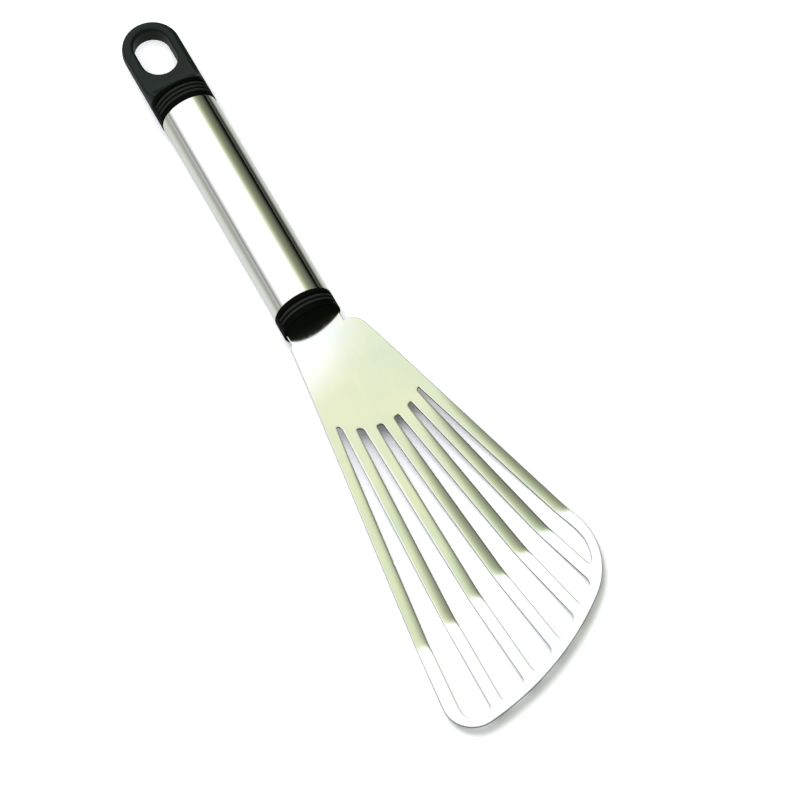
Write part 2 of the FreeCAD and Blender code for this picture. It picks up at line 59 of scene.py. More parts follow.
# pieces are drawn in millimetres from the middle of the ferrule's front face
mm = 0.001
ferruleBox, tubeBox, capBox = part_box("front_ferrule"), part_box("handle_tube"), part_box("end_cap")
axisMiddle = (tubeBox[0] + tubeBox[1]) / 2
origin = Vector((ferruleBox[1].x, axisMiddle.y, axisMiddle.z))
collarRadius = (ferruleBox[1].z - ferruleBox[0].z) / 2 / mm
tubeRadius = (tubeBox[1].z - tubeBox[0].z) / 2 / mm
tubeFront = (tubeBox[1].x - origin.x) / mm
tubeBack = (tubeBox[0].x - origin.x) / mm
capBack = (capBox[0].x - origin.x) / mm
capCollar = 9.4    # length of the end cap's collar, behind which its loop begins


def makePiece(name, points, faces, normals=None):
    mesh = bpy.data.meshes.new(name)
    mesh.from_pydata((np.asarray(points) * mm + np.array(origin)).tolist(), [], faces)
    mesh.update()
    mesh.shade_smooth()
    if normals is not None:
        mesh.normals_split_custom_set_from_vertices(normals)
    obj = bpy.data.objects.new(name, mesh)
    bpy.context.scene.collection.objects.link(obj)
    return obj


def keepPiece(obj, material, slotName, *nodes):
    obj.data.materials.clear()
    obj.data.materials.append(material)
    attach(obj, "root")
    if nodes:
        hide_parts(*nodes)


# node helpers
def addNode(tree, kind, x, y, **values):
    node = tree.nodes.new(kind)
    node.location = (x, y)
    for key, value in values.items():
        setattr(node, key, value)
    return node


def link(tree, out, into):
    tree.links.new(out, into)


def newGroup(name, kind, inputs, outputs):
    tree = bpy.data.node_groups.new(name, kind)
    for title, socketType, default in inputs:
        socket = tree.interface.new_socket(title, in_out="INPUT", socket_type=socketType)
        if default is not None:
            socket.default_value = default
    for title, socketType in outputs:
        tree.interface.new_socket(title, in_out="OUTPUT", socket_type=socketType)
    return tree


def mathNode(tree, operation, a, b, x, y):
    node = addNode(tree, "ShaderNodeMath", x, y, operation=operation)
    for socket, value in zip(node.inputs, (a, b)):
        if isinstance(value, (int, float)):
            socket.default_value = value
        else:
            link(tree, value, socket)
    return node.outputs[0]


def rangeNode(tree, value, low, high, toLow, toHigh, x, y, smooth=True):
    node = addNode(tree, "ShaderNodeMapRange", x, y)
    node.interpolation_type = "SMOOTHSTEP" if smooth else "LINEAR"
    link(tree, value, node.inputs["Value"])
    for title, number in (("From Min", low), ("From Max", high), ("To Min", toLow), ("To Max", toHigh)):
        node.inputs[title].default_value = number
    return node.outputs["Result"]


def mixColour(tree, factor, first, second, x, y):
    node = addNode(tree, "ShaderNodeMix", x, y, data_type="RGBA")
    link(tree, factor, node.inputs[0])
    # the colour sockets come after those for numbers and vectors
    for socket, value in ((node.inputs[6], first), (node.inputs[7], second)):
        if isinstance(value, tuple):
            socket.default_value = (*value, 1)
        else:
            link(tree, value, socket)
    return node.outputs[2]


# polish marks shared by the metal parts: fine lines along the handle and broad uneven patches
def makePolishGroup():
    tree = newGroup("polishMarks", "ShaderNodeTree",
                    [("Lines", "NodeSocketFloat", 700.0), ("Stretch", "NodeSocketFloat", 0.02),
                     ("Patches", "NodeSocketFloat", 45.0)],
                    [("Line", "NodeSocketFloat"), ("Patch", "NodeSocketFloat")])
    given = addNode(tree, "NodeGroupInput", -900, 0)
    result = addNode(tree, "NodeGroupOutput", 400, 0)
    place = addNode(tree, "ShaderNodeTexCoord", -900, 250)
    thin = addNode(tree, "ShaderNodeCombineXYZ", -700, 100)
    link(tree, given.outputs["Stretch"], thin.inputs[0])
    thin.inputs[1].default_value = 1
    thin.inputs[2].default_value = 1
    drawn = addNode(tree, "ShaderNodeVectorMath", -500, 200, operation="MULTIPLY")
    link(tree, place.outputs["Object"], drawn.inputs[0])
    link(tree, thin.outputs[0], drawn.inputs[1])
    lines = addNode(tree, "ShaderNodeTexNoise", -250, 200)
    lines.inputs["Detail"].default_value = 3
    link(tree, drawn.outputs[0], lines.inputs["Vector"])
    link(tree, given.outputs["Lines"], lines.inputs["Scale"])
    patches = addNode(tree, "ShaderNodeTexNoise", -250, -100)
    patches.inputs["Detail"].default_value = 2
    link(tree, place.outputs["Object"], patches.inputs["Vector"])
    link(tree, given.outputs["Patches"], patches.inputs["Scale"])
    link(tree, lines.outputs["Fac"], result.inputs["Line"])
    link(tree, patches.outputs["Fac"], result.inputs["Patch"])
    return tree


polishGroup = makePolishGroup()
# where most values of a noise lie, how far they move the roughness, and the depth of marks in metres
finish = {"noise": (0.3, 0.7), "steelSwing": 0.15, "plasticSwing": 0.05, "cutRough": 0.25, "markDepth": 0.0001}


def newMaterial(name):
    material = bpy.data.materials.new(name)
    material.use_nodes = True
    return material, material.node_tree, material.node_tree.nodes["Principled BSDF"]


def addBump(tree, shader, height, strength, x, y):
    bump = addNode(tree, "ShaderNodeBump", x, y)
    bump.inputs["Strength"].default_value = strength
    bump.inputs["Distance"].default_value = finish["markDepth"]
    link(tree, height, bump.inputs["Height"])
    link(tree, bump.outputs[0], shader.inputs["Normal"])


def makeSteel(name, look):
    material, tree, shader = newMaterial(name)
    shader.inputs["Metallic"].default_value = 1
    marks = addNode(tree, "ShaderNodeGroup", -900, 0)
    marks.node_tree = polishGroup
    marks.inputs["Lines"].default_value = look["lines"]
    marks.inputs["Stretch"].default_value = look["stretch"]
    lineTone = mathNode(tree, "MULTIPLY", marks.outputs["Line"], look["lineTone"], -680, 200)
    patchTone = mathNode(tree, "MULTIPLY", marks.outputs["Patch"], look["patchTone"], -680, 50)
    tone = mathNode(tree, "ADD", lineTone, patchTone, -500, 150)
    level = rangeNode(tree, tone, 0.5 - look["spread"], 0.5 + look["spread"], 0, 1, -340, 150, smooth=False)
    colour = mixColour(tree, level, look["dark"], look["light"], -160, 200)
    smoothest, roughest = (look["rough"] * (1 + sign * finish["steelSwing"]) for sign in (-1, 1))
    rough = rangeNode(tree, marks.outputs["Line"], *finish["noise"], smoothest, roughest, -340, -100,
                      smooth=False)
    if "cut" in look:
        # sheared edges are rougher than the faces, and their darker colour is painted shade
        sheared = addNode(tree, "ShaderNodeAttribute", -340, 400, attribute_name="cutEdge")
        colour = mixColour(tree, sheared.outputs["Fac"], colour, look["cut"], 0, 300)
        duller = mathNode(tree, "MULTIPLY", sheared.outputs["Fac"], finish["cutRough"], -160, 0)
        rough = mathNode(tree, "ADD", rough, duller, 0, 0)
    link(tree, colour, shader.inputs["Base Color"])
    link(tree, rough, shader.inputs["Roughness"])
    addBump(tree, shader, marks.outputs["Line"], look["bump"], -160, -250)
    return material


def makePlastic(name, look, matt=None):
    material, tree, shader = newMaterial(name)
    place = addNode(tree, "ShaderNodeTexCoord", -900, 0)
    cloud = addNode(tree, "ShaderNodeTexNoise", -700, 150)
    cloud.inputs["Scale"].default_value = look["cloudScale"]
    grain = addNode(tree, "ShaderNodeTexNoise", -700, -150)
    grain.inputs["Scale"].default_value = look["grainScale"]
    grain.inputs["Detail"].default_value = 2
    for texture in (cloud, grain):
        link(tree, place.outputs["Object"], texture.inputs["Vector"])
    colour = mixColour(tree, cloud.outputs["Fac"], look["dark"], look["light"], -400, 200)
    smoothest, roughest = (look["rough"] + sign * finish["plasticSwing"] for sign in (-1, 1))
    rough = rangeNode(tree, grain.outputs["Fac"], *finish["noise"], smoothest, roughest, -400, 0)
    if matt:
        # the loop behind the collar is paler and duller
        parts = addNode(tree, "ShaderNodeSeparateXYZ", -700, 400)
        link(tree, place.outputs["Object"], parts.inputs[0])
        edge = origin.x + matt["ahead"] * mm
        loop = rangeNode(tree, parts.outputs[0], edge - matt["blend"] * mm, edge, 1, 0, -500, 400)
        colour = mixColour(tree, loop, colour, matt["colour"], -200, 300)
        change = mathNode(tree, "MULTIPLY", loop, matt["rough"] - look["rough"], -300, 500)
        rough = mathNode(tree, "ADD", rough, change, -200, 100)
        # a thin satin skin on it shows how its edges turn
        link(tree, mathNode(tree, "MULTIPLY", loop, matt["skin"], -200, 600), shader.inputs["Coat Weight"])
        shader.inputs["Coat Roughness"].default_value = matt["skinRough"]
    link(tree, colour, shader.inputs["Base Color"])
    link(tree, rough, shader.inputs["Roughness"])
    shader.inputs["Specular IOR Level"].default_value = look["gloss"]
    addBump(tree, shader, grain.outputs["Fac"], look["bump"], -300, -250)
    return material


# the blade's cut colour is painted shade on its sheared edges
bladeLook = {"dark": (0.77, 0.82, 0.825), "light": (0.88, 0.868, 0.84), "lines": 900, "stretch": 0.015,
             "lineTone": 0.15, "patchTone": 0.85, "spread": 0.14, "rough": 0.12, "bump": 0.03,
             "cut": (0.16, 0.165, 0.16)}
tubeLook = {"dark": (0.84, 0.845, 0.83), "light": (0.90, 0.90, 0.89), "lines": 600, "stretch": 0.01,
            "lineTone": 0.5, "patchTone": 0.5, "spread": 0.3, "rough": 0.05, "bump": 0.03}
pinLook = {"dark": (0.5, 0.5, 0.5), "light": (0.62, 0.62, 0.61), "lines": 900, "stretch": 1,
           "lineTone": 0.5, "patchTone": 0.5, "spread": 0.3, "rough": 0.3, "bump": 0.1}
plasticLook = {"dark": (0.0016, 0.002, 0.0016), "light": (0.0034, 0.004, 0.0034), "cloudScale": 90,
               "grainScale": 2600, "rough": 0.36, "gloss": 0.008, "bump": 0.3}
# the ribs' lighter colour is a painted highlight, where their crests catch the light
ribHighlightLook = dict(plasticLook, dark=(0.015, 0.016, 0.015), light=(0.025, 0.0265, 0.025))
loopLook = {"ahead": tubeBack - capCollar, "blend": 1.2, "colour": (0.0072, 0.012, 0.0103), "rough": 0.5,
            "skin": 0.32, "skinRough": 0.26}
bladeSteel = makeSteel("bladeSteel", bladeLook)
tubeSteel = makeSteel("tubeSteel", tubeLook)
pinSteel = makeSteel("pinSteel", pinLook)
collarPlastic = makePlastic("collarPlastic", plasticLook)
capPlastic = makePlastic("capPlastic", plasticLook, loopLook)
ribHighlightPlastic = makePlastic("ribHighlightPlastic", ribHighlightLook)
print("materials made")

# blade: plan outline and slots, rolled edges, then bent along slanting lines
blade = {
    "sheet": 1.2, "tangBack": 42, "tangHalf": 7, "neckBack": 4, "neckHalf": 11.4,
    "slant": 18, "neckBend": 10, "neckRadius": 150, "belly": 110, "bellyRadius": 25, "tipAngle": 7,
    "station": 100, "leftOut": 22.6, "leftAngle": -6.1, "rightOut": 48.4, "rightAngle": 18.2,
    "shoulder": 4, "rightShoulder": 6.5, "leftShoulder": 3, "rightReach": 54.3,
    "leftCorner": 11.7, "leading": 115, "rightCorner": 31,
    "tines": 7, "tineOut": 20.4, "tineAngle": -5.4, "tineGap": 11.14, "tineTurn": 4, "tineWidth": 4.8,
    "rim": 3.7, "padForward": 21.9, "padSide": 5.7, "padRadius": 27, "topRound": 0.36, "tipRound": 2,
    # rings over an edge: inset, drop and the degrees that the surface has turned
    "rimEdge": [(0.3, 0, 0), (0.22, 0.015, 18), (0.12, 0.06, 40), (0.04, 0.13, 65), (0, 0.25, 90)],
    "slotEdge": [(0.9, 0, 0), (0.6, 0.02, 4), (0.25, 0.08, 11), (0.08, 0.13, 22), (0.03, 0.2, 60), (0, 0.3, 90)],
    "underEdge": 0.15,
    # spacing of points on the outline, and of the grid across the pad
    "step": 0.9, "leftStep": 0.4, "rightStep": 0.5, "cornerStep": 0.63, "tailStep": 1.2,
    "gridRuns": ((-30, -1, 5), (-1, 20, 1.4), (22, 45, 4)), "gridHalf": 40, "gridStep": 2.5, "gridClear": 2.2,
    # shading: an arc of sheen on the pad, and tines that are crowned and twist
    "sheenFrom": (-12, -24), "sheenNear": 21, "sheenRun": 29, "crown": 8, "crownRun": 20, "twistFade": 5,
    # degrees that each tine leans over, halfway and at the belly bend
    "twists": ((1.5, 7), (2.5, 11), (0, 9), (7.5, 10.5), (6, 11), (8, 10), (8, 11)),
}
blade["reach"] = (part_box("slotted_blade")[1].x - origin.x) / mm


def heading(degrees):
    return np.array((math.cos(math.radians(degrees)), math.sin(math.radians(degrees))))


def leftOf(direction):
    return np.array((-direction[1], direction[0]))


def alongArc(centre, radius, start, end, step):
    # points of an arc that turns left between two directions from its centre
    first, last = math.atan2(start[1], start[0]), math.atan2(end[1], end[0])
    turn = (last - first) % (2 * math.pi)
    angles = first + turn * np.linspace(0, 1, max(3, round(radius * turn / step)) + 1)
    return [np.array(centre) + radius * np.array((math.cos(a), math.sin(a))) for a in angles]


def alongLine(start, end, step):
    start, end = np.array(start, float), np.array(end, float)
    count = max(1, round(np.linalg.norm(end - start) / step))
    return [start + (end - start) * i / count for i in range(count + 1)]


def bladeOutline(size):
    step = size["step"]
    leftOut = -leftOf(heading(size["leftAngle"]))
    rightOut = leftOf(heading(size["rightAngle"]))
    leftReach = np.dot((size["station"], -size["leftOut"]), leftOut)
    rightReach = np.dot((size["station"], size["rightOut"]), rightOut)

    def atX(out, reach, radius, x):
        return np.array((x, (reach - radius - out[0] * x) / out[1]))

    tip = atX(leftOut, leftReach, size["leftCorner"], size["reach"] - size["leftCorner"])
    cornerY = size["rightReach"] - size["rightCorner"]
    corner = np.array(((rightReach - size["rightCorner"] - rightOut[1] * cornerY) / rightOut[0], cornerY))
    rightTurn = atX(rightOut, rightReach, size["rightShoulder"], size["shoulder"] + size["rightShoulder"])
    leftTurn = atX(leftOut, leftReach, size["leftShoulder"], size["shoulder"] + size["leftShoulder"])
    # centre of the leading edge, as far from both corner centres as the radii say
    toTip, toCorner = size["leading"] - size["leftCorner"], size["leading"] - size["rightCorner"]
    between = corner - tip
    gap = np.linalg.norm(between)
    along = (toTip ** 2 - toCorner ** 2 + gap ** 2) / (2 * gap)
    aside = leftOf(between / gap) * math.sqrt(toTip ** 2 - along ** 2)
    lead = min((tip + between * along / gap + side for side in (aside, -aside)), key=lambda p: p[0])

    half = size["neckHalf"]
    meet = leftTurn[0] - math.sqrt(size["leftShoulder"] ** 2 - (half + leftTurn[1]) ** 2)
    head = alongArc(leftTurn, size["leftShoulder"], np.array((meet, -half)) - leftTurn, leftOut, size["leftStep"])
    head += alongLine(head[-1], tip + leftOut * size["leftCorner"], step)
    head += alongArc(tip, size["leftCorner"], leftOut, tip - lead, size["cornerStep"])
    head += alongArc(lead, size["leading"], tip - lead, corner - lead, step)
    head += alongArc(corner, size["rightCorner"], corner - lead, rightOut, step)
    head += alongLine(head[-1], rightTurn + rightOut * size["rightShoulder"], step)
    head += alongArc(rightTurn, size["rightShoulder"], rightOut, np.array((-1, 0)), size["rightStep"])
    neck, tang, tangHalf = -size["neckBack"], -size["tangBack"], size["tangHalf"]
    stops = [head[-1], (size["shoulder"], half), (neck, half), (neck, tangHalf), (tang, tangHalf),
             (tang, -tangHalf), (neck, -tangHalf), (neck, -half), (meet, -half)]
    tail = []
    for start, end in zip(stops, stops[1:]):
        tail += alongLine(start, end, size["tailStep"])
    return dropRepeats(head), dropRepeats(head + tail)


def dropRepeats(points, near=0.02):
    kept = [points[0]]
    for point in points[1:]:
        if np.linalg.norm(point - kept[-1]) > near:
            kept.append(point)
    if np.linalg.norm(kept[-1] - kept[0]) < near:
        kept.pop()
    return np.array(kept)


def roundedMin(a, b, radius):
    if min(a, b) > radius:
        return min(a, b)
    return radius - math.hypot(max(radius - a, 0), max(radius - b, 0))


def slotField(size, i, head):
    # how far a point lies inside the slot between tine i and the next
    starts, runs = head[:-1], head[1:] - head[:-1]
    lengths = (runs ** 2).sum(1)
    sides = []
    for tine, sign in ((i, 1), (i + 1, -1)):
        across = leftOf(heading(size["tineAngle"] + tine * size["tineTurn"]))
        sides.append((sign * across, np.array((size["station"], -size["tineOut"] + tine * size["tineGap"]))))
    pad = np.array((size["padForward"], size["padSide"]))

    def field(point):
        first, second = (np.dot(point - mark, across) - size["tineWidth"] / 2 for across, mark in sides)
        top = np.linalg.norm(point - pad) - size["padRadius"]
        share = np.clip(((point - starts) * runs).sum(1) / lengths, 0, 1)
        rim = math.sqrt(((point - starts - share[:, None] * runs) ** 2).sum(1).min()) - size["rim"]
        inside = roundedMin(min(first, second), top, size["topRound"] * (first + second))
        return roundedMin(inside, rim, size["tipRound"])

    begin = sides[0][1] + sides[0][0] * size["tineWidth"] / 2
    return field, begin


def slopeOf(field, point):
    nudge = 0.01
    slope = np.array((field(point + (nudge, 0)) - field(point - (nudge, 0)),
                      field(point + (0, nudge)) - field(point - (0, nudge))))
    return slope / np.linalg.norm(slope)


def traceSlot(field, begin, step):
    # walks round the slot with the metal on its left, in short steps where it turns, until it is back
    most, least, straight, back = 2000, 20, 0.995, step * 0.8
    points = [np.array(begin)]
    into = slopeOf(field, begin)
    while len(points) < most:
        for stride in (step, step / 4):
            spot = points[-1] + stride * leftOf(into)
            for _ in range(3):
                newInto = slopeOf(field, spot)
                spot = spot - field(spot) * newInto
            if np.dot(newInto, into) > straight:
                break
        if len(points) > least and np.linalg.norm(spot - begin) < back:
            break
        points.append(spot)
        into = newInto
    return np.array(points)


def outwardNormals(points):
    # unit normals away from the metal, and how much further a corner has to move
    runs = np.roll(points, -1, 0) - points
    runs /= np.linalg.norm(runs, axis=1)[:, None]
    sides = np.column_stack((runs[:, 1], -runs[:, 0]))
    middle = sides + np.roll(sides, 1, 0)
    middle /= np.linalg.norm(middle, axis=1)[:, None]
    return middle, 1 / (middle * sides).sum(1)


def insidePolygon(points, polygon):
    crossings = np.zeros(len(points), int)
    for (ax, ay), (bx, by) in zip(polygon, np.roll(polygon, -1, 0)):
        spans = (ay > points[:, 1]) != (by > points[:, 1])
        reach = ax + (points[:, 1] - ay) * (bx - ax) / (by - ay if by != ay else 1)
        crossings += spans & (points[:, 0] < reach)
    return crossings % 2 == 1


def bendOf(size):
    # height of the sheet's top over distance square to the bends
    under = -size["sheet"] / 2
    neckCentre = np.array((0, under - size["neckRadius"]))
    bellyCentre = np.array((size["belly"], -collarRadius + size["bellyRadius"]))
    between = bellyCentre - neckCentre
    slope = math.asin((size["neckRadius"] + size["bellyRadius"]) / np.linalg.norm(between)) \
        - math.atan2(between[1], between[0])
    tip = math.radians(size["tipAngle"])
    neckTop, bellyTop = size["neckRadius"] + size["sheet"], size["bellyRadius"] - size["sheet"]
    neckEnd = neckCentre + neckTop * np.array((math.sin(slope), math.cos(slope)))
    bellyStart = bellyCentre - bellyTop * np.array((math.sin(slope), math.cos(slope)))
    bellyEnd = bellyCentre + bellyTop * np.array((math.sin(tip), -math.cos(tip)))

    def height(s):
        neck = neckCentre[1] + np.sqrt(np.maximum(neckTop ** 2 - s ** 2, 0))
        fall = neckEnd[1] - (s - neckEnd[0]) * math.tan(slope)
        belly = bellyCentre[1] - np.sqrt(np.maximum(bellyTop ** 2 - (s - size["belly"]) ** 2, 0))
        rise = bellyEnd[1] + (s - bellyEnd[0]) * math.tan(tip)
        level = np.full_like(s, size["sheet"] / 2)
        return np.select([s < 0, s < neckEnd[0], s < bellyStart[0], s < bellyEnd[0]],
                         [level, neck, fall, belly], rise)
    return height, math.tan(slope)


def tineLean(size, plan, s):
    # each tine is crowned across and twists on its way from the pad to the belly bend
    tiny, halfGap = 0.01, 1.6    # keeps a sum off zero, and how many half widths belong to a tine
    lean = np.zeros((len(plan), 3))
    pad = np.array((size["padForward"], size["padSide"]))
    reach = np.clip(np.linalg.norm(plan - pad, axis=1) - size["padRadius"], 0, None)
    way = reach / (reach + np.clip(size["belly"] - s, 0, None) + tiny)
    past = np.clip(1 - (s - size["belly"]) / size["twistFade"], 0, 1)
    for tine, (middle, end) in enumerate(size["twists"]):
        across = leftOf(heading(size["tineAngle"] + tine * size["tineTurn"]))
        mark = (size["station"], -size["tineOut"] + tine * size["tineGap"])
        off = (plan - mark) @ across * 2 / size["tineWidth"]
        turn = middle * 4 * way * (1 - way) + end * way ** 2
        crown = size["crown"] * np.clip(off, -1, 1) * np.minimum(reach / size["crownRun"], 1)
        turn = (turn + crown) * past
        lean[:, :2] += ((np.abs(off) < halfGap) * np.tan(np.radians(turn)))[:, None] * across
    return lean


def makeBlade(size):
    head, outline = bladeOutline(size)
    loops = [outline]
    for i in range(size["tines"] - 1):
        loops.append(traceSlot(*slotField(size, i, head), size["step"]))
    # points that follow the neck bend across the pad
    ahead = heading(size["slant"])
    stations = np.concatenate([np.arange(*run) for run in size["gridRuns"]])
    across = np.arange(-size["gridHalf"], size["gridHalf"], size["gridStep"])
    grid = np.array([ahead * s + leftOf(ahead) * v + (size["neckBend"], 0) for s in stations for v in across])
    rims = np.concatenate(loops)
    clear = np.array([((rims - point) ** 2).sum(1).min() > size["gridClear"] ** 2 for point in grid])
    metal = insidePolygon(grid, outline)
    for slot in loops[1:]:
        metal &= ~insidePolygon(grid, slot)
    grid = grid[clear & metal]

    # the last two rings lead down to the flat underside
    under = size["underEdge"]
    sides = [(0, size["sheet"] - under, 90), (under, size["sheet"], 180)]
    rimRings, slotRings = size["rimEdge"] + sides, size["slotEdge"] + sides

    height, fall = bendOf(size)
    plan, drops, outs, ups, faces, topIds, underIds, constraints = [], [], [], [], [], [], [], []
    count = 0
    for loop in loops:
        normals, mitre = outwardNormals(loop)
        rings = rimRings if loop is outline else slotRings
        n = len(loop)
        for k, (inset, drop, facing) in enumerate(rings):
            plan.append(loop - normals * (inset * mitre)[:, None])
            drops.append(np.full(n, drop))
            outs.append(normals * math.sin(math.radians(facing)))
            ups.append(np.full(n, math.cos(math.radians(facing))))
            if k:
                a, b = count + (k - 1) * n, count + k * n
                faces += [(a + j, b + j, b + (j + 1) % n, a + (j + 1) % n) for j in range(n)]
        flat = len(topIds)
        constraints += [(flat + j, flat + (j + 1) % n) for j in range(n)]
        topIds += range(count, count + n)
        underIds += range(count + (len(rings) - 1) * n, count + len(rings) * n)
        count += len(rings) * n
    for drop, up, ids in ((0, 1, topIds), (size["sheet"], -1, underIds)):
        plan.append(grid)
        drops.append(np.full(len(grid), drop))
        outs.append(np.zeros((len(grid), 2)))
        ups.append(np.full(len(grid), up))
        ids += range(count, count + len(grid))
        count += len(grid)
    plan, drops, outs, ups = (np.concatenate(part) for part in (plan, drops, outs, ups))

    # four far corners keep the outline off the edge of the triangulation
    far, merge = 300, 1e-5
    flatPlan = np.concatenate((plan[topIds], [(-far, -far), (far, -far), (far, far), (-far, far)]))
    triangles = geometry.delaunay_2d_cdt([Vector(p) for p in flatPlan], constraints, [], 0, merge)
    sources = [source[0] for source in triangles[3]]
    corners = np.array(triangles[2])
    middles = flatPlan[np.array(sources)[corners]].mean(1)
    solid = insidePolygon(middles, flatPlan[:len(outline)])
    first = len(outline)
    for slot in loops[1:]:
        solid &= ~insidePolygon(middles, flatPlan[first:first + len(slot)])
        first += len(slot)
    for a, b, c in corners[solid]:
        a, b, c = sources[a], sources[b], sources[c]
        faces.append((topIds[a], topIds[b], topIds[c]))
        faces.append((underIds[c], underIds[b], underIds[a]))

    s = (plan - (size["neckBend"], 0)) @ ahead
    nudge = 0.02
    slope = (height(s + nudge) - height(s - nudge)) / (2 * nudge)
    # the pad is pressed, so its sheen turns in an arc round the neck's left side
    turned = np.linalg.norm(plan - size["sheenFrom"], axis=1)
    turned = np.clip((turned - size["sheenNear"]) / size["sheenRun"], 0, 1)
    slope = np.where(s < size["belly"] / 2, -fall * turned * turned * (3 - 2 * turned), slope)
    lean = np.column_stack((-slope * ahead[0], -slope * ahead[1], np.ones(len(s))))
    lean /= np.linalg.norm(lean, axis=1)[:, None]
    points = np.column_stack((plan, height(s) - drops))
    lean += tineLean(size, plan, s)
    normals = lean * ups[:, None]
    normals[:, :2] += outs
    normals /= np.linalg.norm(normals, axis=1)[:, None]
    obj = makePiece("bladeSheet", points, faces, normals)
    upright = np.abs(ups) < 0.05    # rings that face sideways are where the sheet was sheared
    cut = obj.data.attributes.new("cutEdge", "FLOAT", "POINT")
    cut.data.foreach_set("value", upright.astype(float))
    return obj


bladeSheet = makeBlade(blade)
keepPiece(bladeSheet, bladeSteel, "blade_steel", "slotted_blade")
print("blade made", len(bladeSheet.data.polygons))

# tube: turned all round, with its cut ends slightly rounded
tube = {"wall": 0.6, "lip": 0.2, "lipRings": 4, "rings": 9, "segments": 288}


def makeTube(size):
    lip, inner = size["lip"], tubeRadius - size["wall"]
    turns = np.linspace(0, math.pi / 2, size["lipRings"])
    profile = [(tubeFront, inner), (tubeFront, tubeRadius - lip)]
    profile += [(tubeFront - lip * (1 - math.cos(t)), tubeRadius - lip * (1 - math.sin(t))) for t in turns]
    profile += [(x, tubeRadius) for x in np.linspace(tubeFront - 2 * lip, tubeBack + 2 * lip, size["rings"])]
    profile += [(tubeBack + lip * (1 - math.sin(t)), tubeRadius - lip * (1 - math.cos(t))) for t in turns]
    profile += [(tubeBack, inner)]
    n, rows = size["segments"], len(profile)
    points = [(x, r * math.sin(2 * math.pi * j / n), r * math.cos(2 * math.pi * j / n))
              for x, r in profile for j in range(n)]
    faces = [(i * n + j, i * n + (j + 1) % n, (i + 1) % rows * n + (j + 1) % n, (i + 1) % rows * n + j)
             for i in range(rows) for j in range(n)]
    return makePiece("gripTube", points, faces)


gripTube = makeTube(tube)
keepPiece(gripTube, tubeSteel, "tube_steel", "handle_tube")
print("tube made")


# mouldings: each drawn as a distance field and skinned, so that its edges come out rounded
def roundedMax(a, b, radius):
    return np.minimum(np.maximum(a, b), -radius) + np.hypot(np.maximum(a + radius, 0), np.maximum(b + radius, 0))


def fieldGradient(field, points, nudge=0.05):
    shifts = np.eye(3) * nudge
    return np.column_stack([(field(*(points + shift).T) - field(*(points - shift).T)) / (2 * nudge)
                            for shift in shifts])


def skinField(name, field, low, high, step):
    axes = [np.arange(lo, hi + step, step) for lo, hi in zip(low, high)]
    values = field(*np.meshgrid(*axes, indexing="ij"))
    inside = values < 0
    shape = tuple(n - 1 for n in inside.shape)
    corners = [(i, j, k) for i in (0, 1) for j in (0, 1) for k in (0, 1)]

    def corner(array, c):
        return array[c[0]:c[0] + shape[0], c[1]:c[1] + shape[1], c[2]:c[2] + shape[2]]

    held = sum(corner(inside, c).astype(int) for c in corners)
    cells = np.argwhere((held > 0) & (held < 8))
    number = -np.ones(shape, int)
    number[tuple(cells.T)] = np.arange(len(cells))
    total, hits = np.zeros((len(cells), 3)), np.zeros(len(cells))
    for c in corners:
        for axis in range(3):
            if c[axis]:
                continue
            d = tuple(1 if k == axis else c[k] for k in range(3))
            a, b = values[tuple((cells + c).T)], values[tuple((cells + d).T)]
            cut = (a < 0) != (b < 0)
            spot = cells + np.array(c, float)
            spot[:, axis] += np.where(cut, a / np.where(cut, a - b, 1), 0)
            total[cut] += spot[cut]
            hits += cut
    points = np.array(low) + step * total / hits[:, None]

    faces = []
    for axis in range(3):
        u, v = (axis + 1) % 3, (axis + 2) % 3
        ahead = np.zeros(3, int)
        ahead[axis] = 1
        ends = tuple(slice(0, n - ahead[k]) for k, n in enumerate(inside.shape))
        starts = tuple(slice(ahead[k], None) for k in range(3))
        for spot in (np.argwhere(inside[ends] & ~inside[starts]), np.argwhere(~inside[ends] & inside[starts])):
            turned = len(spot) and not inside[tuple(spot[0])]
            quad = []
            for du, dv in ((-1, -1), (0, -1), (0, 0), (-1, 0)):
                cell = spot.copy()
                cell[:, u] += du
                cell[:, v] += dv
                quad.append(number[tuple(cell.T)])
            quad = np.column_stack(quad)
            faces += (quad[:, ::-1] if turned else quad).tolist()
    # settle the points on the surface itself, in short moves
    leastSteep, longest, soften = 0.3, 0.2, 0.12
    for _ in range(3):
        slope = fieldGradient(field, points)
        steep = np.maximum((slope ** 2).sum(1), leastSteep)
        points -= np.clip(field(*points.T) / steep, -longest, longest)[:, None] * slope
    normals = fieldGradient(field, points, soften)
    normals /= np.linalg.norm(normals, axis=1)[:, None]
    return makePiece(name, points, faces, normals)


ribs = {"pitch": 1.8, "groove": 0.8, "depth": 0.5, "arc": 136, "edge": 0.16, "pocketEdge": 0.12,
        "sunk": 0.1, "past": 1.003}
insert = {"radius": tubeRadius - 0.65, "edge": 0.5, "overlap": 1}    # plug and spigot, inside the tube
ferrule = {"back": tubeFront, "edge": 0.55, "grooves": 3, "step": 0.3,
           "plugBack": (ferruleBox[0].x - origin.x) / mm}
cap = {"front": tubeBack, "collar": capCollar, "edge": 0.5, "grooves": 4, "step": 0.3, "plate": 9,
       "rimRound": 1.9, "crestRound": 0.6, "holeWidth": 15, "holeLength": 22, "holeWall": 4.9, "holeRound": 1.5,
       "spigotFront": (capBox[1].x - origin.x) / mm}


def ribPocket(x, y, z, middle, grooves):
    # recess that the ribs stand in, on the top and on the bottom of a collar
    half = (grooves - 1) / 2 * ribs["pitch"] + ribs["groove"] / 2
    r = np.hypot(y, z)
    turned = np.arctan2(np.abs(y), np.abs(z)) - math.radians(ribs["arc"] / 2)
    return np.maximum(np.maximum(np.abs(x - middle) - half, collarRadius - ribs["depth"] - r),
                      turned * collarRadius)


def roundedDisc(x, y, z, back, front, radius, edge):
    return roundedMax(np.hypot(y, z) - radius, np.abs(x - (back + front) / 2) - (front - back) / 2, edge)


